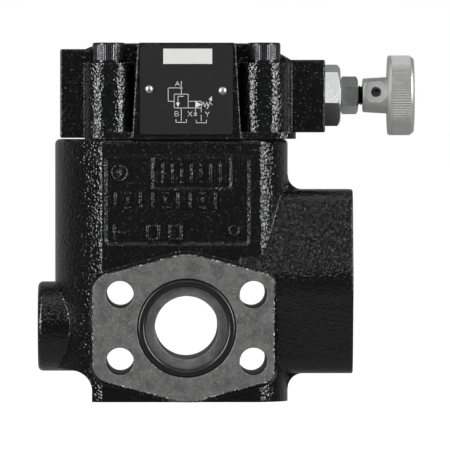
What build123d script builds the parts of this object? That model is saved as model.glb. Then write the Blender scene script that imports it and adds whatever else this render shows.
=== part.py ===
from build123d import *
import os
from math import cos, pi, radians, sin, sqrt, tan

# Pilot-operated pressure relief valve with flange ports, in millimetres.
# +X points to the hand knob, -Y to the front flange and +Z up. The origin lies on the base face,
# under the axis of the main poppet.

os.makedirs("parts", exist_ok=True)

# Flange pattern of the 1 inch size, code 61
screw_spacing_long = 52.4
screw_spacing_short = 26.2
port_bore = 25.0
through_hole = 10.8
tapped_hole = 8.5
tapped_depth = 20.0

# Flange pads
pad_peak = 29.6
pad_slope = 14.8
pad_peak_radius = 21.0
pad_draft = 20.0
pad_root_depth = 0.5
port_a_height = 29.2
pad_a_left = 37.0
pad_a_right = 34.4
pad_a_left_corner = 8.0
pad_a_right_corner = 5.0
flange_depth = 60.0
port_b_height = 47.2
pad_b_reach = 36.3
pad_b_corner = 8.0
port_b_face = 65.5

# Main body casting
joint_height = 103.4
body_left = 52.0
body_right = 40.0
left_end_bulge = 18.42
right_corner_radius = 19.0
seam_angle = 24.0
panel_depth = 54.0
seam_round = 3.0
top_edge_round = 2.0
foot_left = 37.2
notch_height = 11.6
notch_round = 8.0
notch_rise = 1.2
root_round = 6.0
root_width = 25.2
casting_overlap = 1.0
boss_diameter = 35.5
boss_face = 58.7
boss_edge_round = 2.0
date_panel_left = 32.1
date_panel_right = 24.9
date_panel_low = 61.7
date_panel_high = 97.1
date_panel_depth = 0.9
date_panel_corner = 2.5
date_panel_draft = 45.0
insert_left = 13.6
insert_right = 17.6
insert_low = 83.4
insert_high = 96.3
insert_line = 0.6
insert_rise = 0.45

# Main stage, on the vertical axis
gallery_bore = 20.0
nose_bore = 30.0
chamber_bore = 44.0
sleeve_bore_fit = 36.0
collar_bore = 42.0
nose_seat_height = 45.0
chamber_low = 52.0
chamber_high = 68.0
collar_height = 4.0
sleeve_wall_ports = 33.0
sleeve_shoulder = 1.5
sleeve_groove_height = 82.0
poppet_bore = 26.0
seat_bore = 21.0
seat_height = 50.0
seat_angle = 45.0
sleeve_port_count = 8
sleeve_port = 7.0
sleeve_port_height = 58.0
poppet_length = 34.0
poppet_nose = 17.4
poppet_pocket = 19.0
poppet_web = 12.0
relief_groove_count = 3
relief_groove_first = 4.0
relief_groove_pitch = 5.0
relief_groove_size = 0.8
main_spring_wire = 2.2
main_spring_outside = 18.0
main_spring_turns = 8
duct_width = 24.0
duct_low = 53.0
duct_high = 65.0
port_b_bore_end = 34.6

# Pilot passages and their seals
pressure_passage_x = -36.0
drain_passage_x = 31.0
control_passage_x = -2.0
passage_bore = 4.0
passage_seal_outside = 9.0
passage_seal_depth = 1.5
chamber_seal_radius = 23.5
chamber_seal_section = 2.2
pin_x = -26.6
pin_diameter = 3.0
pin_length = 10.0
jet_thread = 6.0
jet_length = 6.0
jet_orifice = 1.0

# Screws that hold the pilot head, M8 x 45
screw_x = 30.5
screw_y = 17.0
screw_thread = 8.0
screw_head = 13.0
screw_head_height = 8.0
screw_length = 45.0
screw_clearance = 8.6
screw_socket = 6.0
screw_socket_depth = 4.0
head_seat_height = 133.3

# Pilot head casting
column_radius = 9.7
core_right = 41.5
ridge_width = 19.0
ridge_run_middle = 24.5
ridge_run_left = 36.4
ridge_drop_left = 0.8
ridge_run_right = 37.0
ridge_drop_right = 4.0
head_top = 141.2
foot_right = 43.1
foot_height = 2.6
foot_corner = 9.7
cast_edge_round = 0.8
head_overlap = 3.0
end_block_left = 49.8
end_block_low = 103.8
end_block_high = 138.8
end_block_width = 33.0
bonnet_block_right = 54.7
bonnet_block_low = 106.0
bonnet_block_high = 134.6
bonnet_block_width = 29.0
plate_boss_half_top = 19.4
plate_boss_half_foot = 21.6
plate_boss_front = 27.6
plate_boss_rear = 25.0
plate_boss_corner = 1.5

# Nameplate
plate_left = 18.3
plate_right = 18.1
plate_low = 105.2
plate_high = 140.3
plate_thickness = 0.8
plate_corner = 1.6
rivet_left = (-14.7, 122.8)
rivet_right = (14.1, 122.2)
rivet_head = 3.4
rivet_shank = 2.0
rivet_length = 5.0

# Pilot stage and adjuster, on the axis of the spindle
pilot_height = 120.7
gallery_plug_thread = 10.0
gallery_plug_length = 9.0
gallery_plug_socket = 5.0
gallery_plug_socket_depth = 4.0
pilot_seat_left = 3.0
pilot_seat_length = 8.0
pilot_seat_outside = 12.0
pilot_orifice = 4.0
cone_half_angle = 20.0
cone_tip = 2.0
cone_stem = 6.0
cone_stem_length = 5.0
cone_collar = 12.0
cone_collar_thickness = 2.0
spring_chamber = 16.0
pilot_spring_wire = 1.8
pilot_spring_outside = 11.6
pilot_spring_turns = 6
plunger_left = 33.0
plunger_collar = 14.6
plunger_collar_thickness = 3.0
plunger_stem = 12.0
plunger_right = 48.0
plunger_spigot = 7.4
plunger_spigot_length = 4.0
plunger_bore_end = 52.2
plunger_groove_left = 42.0
plunger_groove_width = 2.2
bonnet_shank_left = 41.0
bonnet_thread = 18.0
bonnet_hexagon = 22.0
bonnet_height = 6.3
bonnet_runout = 1.0
bonnet_turn = 14.0
bonnet_seal_depth = 1.6
bonnet_seal_outside = 20.8
spindle_thread = 8.0
spindle_tip = 6.0
spindle_flat = 2.2
nut_left = 61.1
nut_height = 6.9
nut_hexagon = 13.0
nut_turn = 34.0
hub_left = 69.9
hub_small = 13.4
hub_large = 14.5
knob_left = 79.8
knob_right = 90.1
knob_diameter = 31.6
knob_rim = 1.3
knob_chamfer = 1.4
knurl_count = 96
knurl_depth = 0.45
hub_screw_x = 75.1
hub_screw_turn = 13.5
hub_spot = 9.4
hub_screw_thread = 4.0
spindle_right = 87.0

# Face seal of port A, and plug of the gauge port
seal_a_outside = 39.0
seal_a_section = 3.3
seal_a_depth = 2.8
gauge_thread = 13.2
gauge_plug_length = 10.0
gauge_collar = 18.0
gauge_collar_depth = 3.4
gauge_collar_thickness = 2.2
gauge_socket = 6.0
gauge_socket_depth = 5.0
gauge_passage = 6.0

# Clearances: between still pieces, and round those that slide or turn
seat_fit = 0.05
running_fit = 0.04

pilot_axis = Axis((0, 0, pilot_height), (1, 0, 0))
pilot_plane = Plane(origin=(0, 0, pilot_height), x_dir=(1, 0, 0), z_dir=(0, -1, 0))
front_plane = Plane(origin=(0, -flange_depth / 2, port_a_height), x_dir=(1, 0, 0), z_dir=(0, -1, 0))
rear_plane = Plane(origin=(0, flange_depth / 2, port_a_height), x_dir=(1, 0, 0), z_dir=(0, 1, 0))
side_plane = Plane(origin=(port_b_face, 0, port_b_height), x_dir=(0, 0, 1), z_dir=(1, 0, 0))
joint_plane = Plane.XY.offset(joint_height)
screw_places = [(x, y) for x in (-screw_x, screw_x) for y in (-screw_y, screw_y)]


def turned(profile, axis, plane):
    """A turned piece: its half profile, as (along, radius) points on the plane, spun about the axis."""
    with BuildPart() as piece:
        with BuildSketch(plane):
            with BuildLine():
                Polyline(*profile, close=True)
            make_face()
        revolve(axis=axis)
    return piece


def turned_along_x(profile):
    return turned(profile, pilot_axis, pilot_plane)


def pad_outline(plane, low, high, low_corner, high_corner):
    """Outline of a flange pad: two sloped sides that meet in a rounded peak, and rounded ends."""
    fall = tan(radians(pad_slope))
    with BuildSketch(plane) as pad:
        with BuildLine():
            Polyline(
                (0, pad_peak),
                (high, pad_peak - high * fall),
                (high, high * fall - pad_peak),
                (0, -pad_peak),
                (-low, low * fall - pad_peak),
                (-low, pad_peak - low * fall),
                close=True,
            )
        make_face()
        fillet(pad.vertices().sort_by(Axis.X)[-2:], radius=high_corner)
        fillet(pad.vertices().sort_by(Axis.X)[:2], radius=low_corner)
        peaks = pad.vertices().sort_by(Axis.Y)
        fillet([peaks[0], peaks[-1]], radius=pad_peak_radius)
    return pad.sketch


def ring_seal(radius, section_width, section_height, centre, direction):
    """An O-ring squeezed in its groove, with an oval section."""
    with BuildPart() as ring:
        with BuildSketch(Plane.XZ):
            with Locations((radius, 0)):
                Ellipse(section_width / 2, section_height / 2)
        revolve(axis=Axis.Z)
    return Plane(origin=centre, z_dir=direction) * ring.part


def coil_spring(wire, outside, length, turns):
    """A round-wire compression spring that stands on its plane, from wire edge to wire edge."""
    mean_radius = (outside - wire) / 2
    rise = length - wire
    with BuildPart() as coil:
        with BuildLine() as path:
            Helix(pitch=rise / turns, height=rise, radius=mean_radius)
        with BuildSketch(path.line ^ 0):
            Circle(wire / 2)
        sweep(is_frenet=True)
    return coil.part.translate((0, 0, wire / 2))


# Main body
panel_y = panel_depth / 2
left_seam_x = -body_left + left_end_bulge
right_centre_x = body_right - right_corner_radius
right_centre_y = panel_y - right_corner_radius * cos(radians(seam_angle))
right_seam_x = right_centre_x + right_corner_radius * sin(radians(seam_angle))
corner_sweep = 90 - seam_angle

with BuildPart() as main_body:
    with BuildSketch():
        with BuildLine():
            front_side = Line((left_seam_x, -panel_y), (right_seam_x, -panel_y))
            CenterArc((right_centre_x, -right_centre_y), right_corner_radius, -corner_sweep, corner_sweep)
            Line((body_right, -right_centre_y), (body_right, right_centre_y))
            CenterArc((right_centre_x, right_centre_y), right_corner_radius, 0, corner_sweep)
            rear_side = Line((right_seam_x, panel_y), (left_seam_x, panel_y))
            ThreePointArc(rear_side @ 1, (-body_left, 0), front_side @ 0)
        make_face()
    extrude(amount=joint_height)
    seams = [edge for edge in main_body.edges().filter_by(Axis.Z) if abs(edge.center().Y) > panel_y - 0.01]
    fillet(seams, radius=seam_round)
    fillet(main_body.faces().sort_by(Axis.Z)[-1].edges(), radius=top_edge_round)
    # The left side steps in to the foot, with a hollow round at the root
    with BuildSketch(Plane.XZ) as notch:
        with BuildLine():
            Polyline(
                (-foot_left, -casting_overlap),
                (-foot_left, notch_height),
                (-body_left - casting_overlap, notch_height + notch_rise),
                (-body_left - casting_overlap, -casting_overlap),
                close=True,
            )
        make_face()
        fillet(notch.vertices().sort_by_distance((-foot_left, notch_height))[0], radius=notch_round)
    extrude(amount=panel_depth, both=True, mode=Mode.SUBTRACT)
    # Side port block
    side_pad = pad_outline(side_plane, pad_b_reach, pad_b_reach, pad_b_corner, pad_b_corner)
    extrude(side_pad, amount=-port_b_face + right_centre_x)
    chamfer(main_body.faces().sort_by(Axis.X)[-1].edges(), length=0.4)
    # Hollow rounds where the block leaves the body, above and below
    with BuildSketch(Plane.XZ):
        for height, way in ((port_b_height + pad_b_reach, 1), (port_b_height - pad_b_reach, -1)):
            with BuildLine():
                root = (body_right, height)
                end_up = (body_right, height + way * root_round)
                end_out = (body_right + root_round, height)
                bend = root_round * (1 - sin(radians(45)))
                Line((body_right - casting_overlap, height), end_out)
                ThreePointArc(end_out, (body_right + bend, height + way * bend), end_up)
                Line(end_up, (body_right - casting_overlap, height + way * root_round))
                Line((body_right - casting_overlap, height), (body_right - casting_overlap, height + way * root_round))
            make_face()
    extrude(amount=root_width / 2, both=True)
    # Left boss of the gauge port
    with BuildSketch(Plane(origin=(-boss_face, 0, port_a_height), z_dir=(-1, 0, 0))):
        Circle(boss_diameter / 2)
    extrude(amount=-(boss_face + left_seam_x))
    fillet(main_body.faces().sort_by(Axis.X)[0].edges(), radius=boss_edge_round)
    # Raised pads of port A, front and rear
    pad_rise = flange_depth / 2 - panel_y + pad_root_depth
    for face_plane in (front_plane, rear_plane):
        outline = pad_outline(face_plane, pad_a_left, pad_a_right, pad_a_left_corner, pad_a_right_corner)
        extrude(outline, amount=-pad_rise, taper=-pad_draft)
    # The base is milled flat through the lower peaks of the pads
    with BuildSketch():
        Rectangle(2 * boss_face, flange_depth)
    extrude(amount=-pad_peak, mode=Mode.SUBTRACT)
    # Shallow panel on the front
    panel_centre = ((date_panel_right - date_panel_left) / 2, (date_panel_low + date_panel_high) / 2)
    with BuildSketch(Plane.XZ.offset(panel_y)):
        with Locations(panel_centre):
            RectangleRounded(
                date_panel_left + date_panel_right,
                date_panel_high - date_panel_low,
                date_panel_corner,
            )
    extrude(amount=-date_panel_depth, taper=date_panel_draft, mode=Mode.SUBTRACT)
    with BuildSketch(Plane.XZ.offset(panel_y - date_panel_depth)):
        with Locations(((insert_right - insert_left) / 2, (insert_low + insert_high) / 2)):
            Rectangle(insert_left + insert_right, insert_high - insert_low)
            Rectangle(
                insert_left + insert_right - 2 * insert_line,
                insert_high - insert_low - 2 * insert_line,
                mode=Mode.SUBTRACT,
            )
    extrude(amount=insert_rise)
    # Stepped cavity of the main stage
    with BuildSketch(Plane.XZ):
        with BuildLine():
            Polyline(
                (0, port_a_height),
                (gallery_bore / 2, port_a_height),
                (gallery_bore / 2, nose_seat_height),
                (nose_bore / 2, nose_seat_height),
                (nose_bore / 2, chamber_low),
                (chamber_bore / 2, chamber_low),
                (chamber_bore / 2, chamber_high),
                (sleeve_bore_fit / 2, chamber_high),
                (sleeve_bore_fit / 2, joint_height - collar_height),
                (collar_bore / 2, joint_height - collar_height),
                (collar_bore / 2, joint_height),
                (0, joint_height),
                close=True,
            )
        make_face()
    revolve(axis=Axis.Z, mode=Mode.SUBTRACT)
    # Cast duct from the chamber to the side port
    with BuildSketch(Plane.YZ):
        with Locations((0, (duct_low + duct_high) / 2)):
            RectangleRounded(duct_width, duct_high - duct_low, (duct_high - duct_low) / 3)
    extrude(amount=port_b_bore_end + port_bore / 4, mode=Mode.SUBTRACT)
    # Port A with its screw holes and the open recess of its face seal
    with Locations(front_plane):
        Hole(port_bore / 2, depth=flange_depth)
        with GridLocations(screw_spacing_long, screw_spacing_short, 2, 2):
            Hole(through_hole / 2, depth=flange_depth)
    with BuildSketch(front_plane):
        Circle(seal_a_outside / 2)
    extrude(amount=-seal_a_depth, mode=Mode.SUBTRACT)
    # Port B with its tapped holes
    with Locations(side_plane):
        Hole(port_bore / 2, depth=port_b_face - port_b_bore_end)
        with GridLocations(screw_spacing_long, screw_spacing_short, 2, 2):
            Hole(tapped_hole / 2, depth=tapped_depth)
    # Gauge port in the left boss
    with Locations(Plane(origin=(-boss_face, 0, port_a_height), z_dir=(-1, 0, 0))):
        CounterBoreHole(
            gauge_thread / 2 + seat_fit,
            gauge_collar / 2 + seat_fit,
            gauge_collar_depth,
            depth=gauge_collar_depth + gauge_plug_length,
        )
        Hole(gauge_passage / 2, depth=boss_face)
    # Pilot passages, tapped holes and pin hole in the joint face
    with Locations(joint_plane):
        with Locations((pressure_passage_x, 0)):
            Hole(passage_bore / 2, depth=joint_height - port_a_height)
        with Locations((drain_passage_x, 0)):
            Hole(passage_bore / 2, depth=joint_height - duct_high + 2)
        with Locations((pin_x, 0)):
            Hole(pin_diameter / 2 + seat_fit, depth=pin_length / 2)
        with Locations(*screw_places):
            Hole(screw_thread / 2 + seat_fit, depth=screw_length - (head_seat_height - joint_height) + 3)
main_body.part.label = "main_body"
export_step(main_body.part, "parts/main_body.step")

# Main stage sleeve, with its cross ports
sleeve_top = joint_height - 2 * seat_fit
nose_groove = 2.6
upper_groove = 3.0
groove_cut = 1.8
nose_groove_low = (nose_seat_height + chamber_low - nose_groove) / 2
with BuildPart() as main_sleeve:
    with BuildSketch(Plane.XZ):
        with BuildLine():
            Polyline(
                (seat_bore / 2, nose_seat_height + seat_fit),
                (nose_bore / 2 - seat_fit, nose_seat_height + seat_fit),
                (nose_bore / 2 - seat_fit, nose_groove_low),
                (nose_bore / 2 - groove_cut, nose_groove_low),
                (nose_bore / 2 - groove_cut, nose_groove_low + nose_groove),
                (nose_bore / 2 - seat_fit, nose_groove_low + nose_groove),
                (nose_bore / 2 - seat_fit, chamber_low),
                (sleeve_wall_ports / 2, chamber_low + (sleeve_wall_ports - nose_bore) / 2),
                (sleeve_wall_ports / 2, chamber_high - sleeve_shoulder),
                (sleeve_bore_fit / 2 - seat_fit, chamber_high),
                (sleeve_bore_fit / 2 - seat_fit, sleeve_groove_height),
                (sleeve_bore_fit / 2 - groove_cut, sleeve_groove_height),
                (sleeve_bore_fit / 2 - groove_cut, sleeve_groove_height + upper_groove),
                (sleeve_bore_fit / 2 - seat_fit, sleeve_groove_height + upper_groove),
                (sleeve_bore_fit / 2 - seat_fit, joint_height - collar_height + seat_fit),
                (collar_bore / 2 - seat_fit, joint_height - collar_height + seat_fit),
                (collar_bore / 2 - seat_fit, sleeve_top),
                (poppet_bore / 2, sleeve_top),
                (poppet_bore / 2, seat_height),
                (seat_bore / 2, seat_height),
                close=True,
            )
        make_face()
    revolve(axis=Axis.Z)
    with Locations((0, 0, sleeve_port_height)):
        with PolarLocations(0, sleeve_port_count // 2, angular_range=180):
            Cylinder(sleeve_port / 2, sleeve_wall_ports + 2, rotation=(90, 0, 0), mode=Mode.SUBTRACT)
main_sleeve.part.label = "main_sleeve"
export_step(main_sleeve.part, "parts/main_sleeve.step")

# Main poppet: a cone on the seat edge, a hollow for the spring and relief grooves on the guide
poppet_radius = poppet_bore / 2 - running_fit
cone_rise = tan(radians(90 - seat_angle))
nose_height = seat_height + running_fit - (seat_bore - poppet_nose) / 2 * cone_rise
cone_top = nose_height + (poppet_radius - poppet_nose / 2) * cone_rise
poppet_top = nose_height + poppet_length
pocket_floor = nose_height + poppet_web
with BuildPart() as main_poppet:
    with BuildSketch(Plane.XZ):
        with BuildLine():
            Polyline(
                (0, nose_height),
                (poppet_nose / 2, nose_height),
                (poppet_radius, cone_top),
                (poppet_radius, poppet_top),
                (poppet_pocket / 2, poppet_top),
                (poppet_pocket / 2, pocket_floor),
                (0, pocket_floor),
                close=True,
            )
        make_face()
        for row in range(relief_groove_count):
            with Locations((poppet_radius, poppet_top - relief_groove_first - relief_groove_pitch * row)):
                Rectangle(relief_groove_size, relief_groove_size, mode=Mode.SUBTRACT)
    revolve(axis=Axis.Z)
main_poppet.part.label = "main_poppet"
export_step(main_poppet.part, "parts/main_poppet.step")

main_spring_length = joint_height - pocket_floor - 2 * seat_fit
main_spring = coil_spring(main_spring_wire, main_spring_outside, main_spring_length, main_spring_turns)
main_spring = main_spring.translate((0, 0, pocket_floor + seat_fit))
main_spring.label = "main_spring"
export_step(main_spring, "parts/main_spring.step")

# Seals of the main stage
up = (0, 0, 1)
gland = groove_cut - 2 * seat_fit
nose_seal_radius = nose_bore / 2 - groove_cut / 2
sleeve_nose_seal = ring_seal(
    nose_seal_radius, gland, nose_groove - 0.3, (0, 0, nose_groove_low + nose_groove / 2), up
)
sleeve_nose_seal.label = "sleeve_nose_seal"
export_step(sleeve_nose_seal, "parts/sleeve_nose_seal.step")
upper_seal_radius = sleeve_bore_fit / 2 - groove_cut / 2
sleeve_upper_seal = ring_seal(
    upper_seal_radius, gland, upper_groove - 0.3, (0, 0, sleeve_groove_height + upper_groove / 2), up
)
sleeve_upper_seal.label = "sleeve_upper_seal"
export_step(sleeve_upper_seal, "parts/sleeve_upper_seal.step")
chamber_groove = chamber_seal_section * 0.75
chamber_seal = ring_seal(
    chamber_seal_radius,
    chamber_seal_section,
    chamber_groove - 2 * seat_fit,
    (0, 0, joint_height + chamber_groove / 2),
    up,
)
chamber_seal.label = "chamber_seal"
export_step(chamber_seal, "parts/chamber_seal.step")
passage_section = (passage_seal_outside - passage_bore) / 2 - 2 * seat_fit
with BuildPart() as passage_seals:
    for x in (pressure_passage_x, drain_passage_x):
        add(
            ring_seal(
                (passage_seal_outside + passage_bore) / 4,
                passage_section,
                passage_seal_depth - 2 * seat_fit,
                (x, 0, joint_height + passage_seal_depth / 2),
                up,
            )
        )
passage_seals.part.label = "passage_seals"
export_step(passage_seals.part, "parts/passage_seals.step")
port_a_seal = ring_seal(
    (seal_a_outside - seal_a_section) / 2 - seat_fit,
    seal_a_section,
    seal_a_depth - 2 * seat_fit,
    (0, -flange_depth / 2 + seal_a_depth / 2, port_a_height),
    (0, 1, 0),
)
port_a_seal.label = "port_a_seal"
export_step(port_a_seal, "parts/port_a_seal.step")

def cast_block(left, right, low, high, width):
    """A block of the head casting, square to the axes, with rounded edges."""
    with BuildPart() as block:
        with Locations(((left + right) / 2, 0, (low + high) / 2)):
            Box(right - left, width, high - low)
        fillet(block.edges(), radius=cast_edge_round)
    return block.part


# Pilot head: four screw columns round a core, a ridge along the top and a block at each end
column_edge = screw_x + column_radius
with BuildPart() as plate_boss:
    with BuildSketch(Plane.XZ.offset(plate_boss_front)):
        with BuildLine():
            Polyline(
                (-plate_boss_half_foot, joint_height),
                (-plate_boss_half_top, head_top),
                (plate_boss_half_top, head_top),
                (plate_boss_half_foot, joint_height),
                close=True,
            )
        make_face()
    extrude(amount=-(plate_boss_front + plate_boss_rear))
    upper_corners = plate_boss.edges().filter_by(Axis.Y).sort_by(Axis.Z)[-2:]
    fillet(upper_corners, radius=plate_boss_corner)
    outline = [
        edge
        for face in (plate_boss.faces().sort_by(Axis.Y)[0], plate_boss.faces().sort_by(Axis.Y)[-1])
        for edge in face.edges()
        if edge.center().Z > joint_height + cast_edge_round
    ]
    fillet(outline, radius=cast_edge_round)
with BuildPart() as ridge:
    with BuildSketch(Plane.XZ):
        with BuildLine():
            Polyline(
                (-column_edge, joint_height),
                (-column_edge, end_block_high),
                (-ridge_run_left, head_top - ridge_drop_left),
                (-ridge_run_middle, head_top),
                (ridge_run_middle, head_top),
                (ridge_run_right, head_top - ridge_drop_right),
                (core_right, bonnet_block_high),
                (core_right, joint_height),
                close=True,
            )
        make_face()
    extrude(amount=ridge_width / 2, both=True)
    top_edges = [edge for edge in ridge.edges() if abs(edge.center().Y) > 1 and edge.center().Z > head_seat_height]
    fillet(top_edges, radius=cast_edge_round)
with BuildPart() as pilot_head:
    with BuildSketch(joint_plane):
        with Locations(((foot_right - column_edge) / 2, 0)):
            RectangleRounded(foot_right + column_edge, 2 * (screw_y + column_radius), foot_corner)
    extrude(amount=foot_height)
    with BuildSketch(joint_plane):
        with Locations(((core_right - column_edge) / 2, 0)):
            Rectangle(core_right + column_edge, 2 * screw_y)
        with Locations(*screw_places):
            Circle(column_radius)
    extrude(amount=head_seat_height - joint_height)
    add(plate_boss.part)
    add(ridge.part)
    add(
        cast_block(
            -end_block_left, -column_edge + head_overlap, end_block_low, end_block_high, end_block_width
        )
    )
    add(
        cast_block(
            core_right - head_overlap,
            bonnet_block_right,
            bonnet_block_low,
            bonnet_block_high,
            bonnet_block_width,
        )
    )
    # Bore of the pilot stage and the adjuster, with the gallery to the left
    with BuildSketch(pilot_plane):
        with BuildLine():
            Polyline(
                (-end_block_left, 0),
                (-end_block_left, gallery_plug_thread / 2 + seat_fit),
                (-end_block_left + gallery_plug_length, gallery_plug_thread / 2 + seat_fit),
                (-end_block_left + gallery_plug_length, passage_bore / 2),
                (pilot_seat_left, passage_bore / 2),
                (pilot_seat_left, pilot_seat_outside / 2),
                (pilot_seat_left + pilot_seat_length, pilot_seat_outside / 2),
                (pilot_seat_left + pilot_seat_length, spring_chamber / 2),
                (bonnet_shank_left - bonnet_runout, spring_chamber / 2),
                (bonnet_shank_left - bonnet_runout, bonnet_thread / 2),
                (bonnet_block_right - bonnet_seal_depth, bonnet_thread / 2),
                (bonnet_block_right - bonnet_seal_depth, bonnet_seal_outside / 2),
                (bonnet_block_right, bonnet_seal_outside / 2),
                (bonnet_block_right, 0),
                close=True,
            )
        make_face()
    revolve(axis=pilot_axis, mode=Mode.SUBTRACT)
    # Passages, jet threads, seal grooves, screw holes and pin hole, from the joint face up
    with Locations(Plane(origin=(0, 0, joint_height), z_dir=(0, 0, -1), x_dir=(1, 0, 0))):
        with Locations((pressure_passage_x, 0), (control_passage_x, 0), (drain_passage_x, 0)):
            Hole(passage_bore / 2, depth=pilot_height - joint_height)
        with Locations((pressure_passage_x, 0), (drain_passage_x, 0)):
            Hole(passage_seal_outside / 2, depth=passage_seal_depth)
        with Locations((pressure_passage_x, 0), (control_passage_x, 0)):
            Hole(jet_thread / 2 + seat_fit, depth=passage_seal_depth + jet_length + 2 * seat_fit)
        with Locations((pin_x, 0)):
            Hole(pin_diameter / 2 + seat_fit, depth=pin_length / 2 + seat_fit)
        with Locations(*screw_places):
            Hole(screw_clearance / 2, depth=head_seat_height - joint_height)
    with BuildSketch(joint_plane):
        Circle(chamber_seal_radius + chamber_seal_section / 2 + seat_fit)
        Circle(chamber_seal_radius - chamber_seal_section / 2 - seat_fit, mode=Mode.SUBTRACT)
    extrude(amount=chamber_groove, mode=Mode.SUBTRACT)
    # Holes of the nameplate rivets
    for x, height in (rivet_left, rivet_right):
        with Locations(Plane(origin=(x, -plate_boss_front, height), z_dir=(0, -1, 0))):
            Hole(rivet_shank / 2 + seat_fit, depth=rivet_length)
pilot_head.part.label = "pilot_head"
export_step(pilot_head.part, "parts/pilot_head.step")

# Socket head cap screws
with BuildPart() as cap_screw:
    Cylinder(screw_head / 2, screw_head_height, align=(Align.CENTER, Align.CENTER, Align.MIN))
    fillet(cap_screw.edges().sort_by(Axis.Z)[-1], radius=0.7)
    chamfer(cap_screw.edges().sort_by(Axis.Z)[0], length=0.3)
    Cylinder(screw_thread / 2, screw_length, align=(Align.CENTER, Align.CENTER, Align.MAX))
    with BuildSketch(Plane.XY.offset(screw_head_height)):
        RegularPolygon(screw_socket / 2, 6, major_radius=False)
    extrude(amount=-screw_socket_depth, mode=Mode.SUBTRACT)
    chamfer(cap_screw.edges().sort_by(Axis.Z)[0], length=1.0)
with BuildPart() as cap_screws:
    with Locations(Plane.XY.offset(head_seat_height)):
        with Locations(*screw_places):
            add(cap_screw.part)
cap_screws.part.label = "cap_screws"
export_step(cap_screws.part, "parts/cap_screws.step")

# Nameplate and its drive rivets
plate_middle = ((plate_right - plate_left) / 2, (plate_low + plate_high) / 2)
with BuildPart() as nameplate:
    with BuildSketch(Plane.XZ.offset(plate_boss_front)):
        with Locations(plate_middle):
            RectangleRounded(plate_left + plate_right, plate_high - plate_low, plate_corner)
        with Locations(rivet_left, rivet_right):
            Circle(rivet_shank / 2 + seat_fit, mode=Mode.SUBTRACT)
    extrude(amount=plate_thickness)
nameplate.part.label = "nameplate"
export_step(nameplate.part, "parts/nameplate.step")

rivet_dome = 1.0
dome_radius = (rivet_head**2 / 4 + rivet_dome**2) / 2 / rivet_dome
dome_side = rivet_head / 4
dome_side_height = rivet_dome - dome_radius + sqrt(dome_radius**2 - dome_side**2)
with BuildPart() as rivet:
    with BuildSketch(Plane.XZ):
        with BuildLine():
            Line((0, -rivet_length), (rivet_shank / 2, -rivet_length))
            Line((rivet_shank / 2, -rivet_length), (rivet_shank / 2, 0))
            Line((rivet_shank / 2, 0), (rivet_head / 2, 0))
            ThreePointArc((rivet_head / 2, 0), (dome_side, dome_side_height), (0, rivet_dome))
            Line((0, rivet_dome), (0, -rivet_length))
        make_face()
    revolve(axis=Axis.Z)
with BuildPart() as nameplate_rivets:
    for x, height in (rivet_left, rivet_right):
        with Locations(Plane(origin=(x, -plate_boss_front - plate_thickness, height), z_dir=(0, -1, 0))):
            add(rivet.part)
nameplate_rivets.part.label = "nameplate_rivets"
export_step(nameplate_rivets.part, "parts/nameplate_rivets.step")

# Locating pin and screwed jets
with BuildPart() as locating_pin:
    with Locations((pin_x, 0, joint_height)):
        Cylinder(pin_diameter / 2, pin_length - 2 * seat_fit)
    chamfer(locating_pin.edges().filter_by(GeomType.CIRCLE), length=0.4)
locating_pin.part.label = "locating_pin"
export_step(locating_pin.part, "parts/locating_pin.step")


def screwed_jet(x):
    """A jet with a fine orifice and a driver slot, screwed into a passage of the head."""
    with BuildPart() as jet:
        with Locations((x, 0, joint_height + passage_seal_depth)):
            Cylinder(jet_thread / 2, jet_length, align=(Align.CENTER, Align.CENTER, Align.MIN))
        with Locations((x, 0, joint_height + passage_seal_depth)):
            Cylinder(
                jet_orifice / 2,
                jet_length,
                align=(Align.CENTER, Align.CENTER, Align.MIN),
                mode=Mode.SUBTRACT,
            )
            Box(jet_thread, 1.2, 1.5, align=(Align.CENTER, Align.CENTER, Align.MIN), mode=Mode.SUBTRACT)
    return jet.part


supply_jet = screwed_jet(pressure_passage_x)
supply_jet.label = "supply_jet"
export_step(supply_jet, "parts/supply_jet.step")
damping_jet = screwed_jet(control_passage_x)
damping_jet.label = "damping_jet"
export_step(damping_jet, "parts/damping_jet.step")

# Pilot seat, cone and spring
pilot_seat_right = pilot_seat_left + pilot_seat_length
pilot_seat = turned_along_x(
    (
        (pilot_seat_left + seat_fit, passage_bore / 2 + 1),
        (pilot_seat_left + seat_fit, pilot_seat_outside / 2 - seat_fit),
        (pilot_seat_right, pilot_seat_outside / 2 - seat_fit),
        (pilot_seat_right, pilot_orifice / 2),
        (pilot_seat_left + 3, pilot_orifice / 2),
        (pilot_seat_left + 2, passage_bore / 2 + 1),
    )
)
pilot_seat.part.label = "pilot_seat"
export_step(pilot_seat.part, "parts/pilot_seat.step")

cone_reach = 1 / tan(radians(cone_half_angle))
seat_line = pilot_seat_right + running_fit / sin(radians(cone_half_angle))
cone_left = seat_line - (pilot_orifice - cone_tip) / 2 * cone_reach
cone_end = seat_line + (cone_stem - pilot_orifice) / 2 * cone_reach
collar_right = cone_end + cone_collar_thickness
pilot_cone = turned_along_x(
    (
        (cone_left, 0),
        (cone_left, cone_tip / 2),
        (cone_end, cone_stem / 2),
        (cone_end, cone_collar / 2),
        (collar_right, cone_collar / 2),
        (collar_right, cone_stem / 2),
        (collar_right + cone_stem_length, cone_stem / 2),
        (collar_right + cone_stem_length, 0),
    )
)
pilot_cone.part.label = "pilot_cone"
export_step(pilot_cone.part, "parts/pilot_cone.step")

pilot_spring_length = plunger_left - collar_right - 2 * seat_fit
pilot_spring_upright = coil_spring(
    pilot_spring_wire, pilot_spring_outside, pilot_spring_length, pilot_spring_turns
)
pilot_spring_place = Plane(origin=(collar_right + seat_fit, 0, pilot_height), z_dir=(1, 0, 0))
pilot_spring = pilot_spring_place * pilot_spring_upright
pilot_spring.label = "pilot_spring"
export_step(pilot_spring, "parts/pilot_spring.step")

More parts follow.
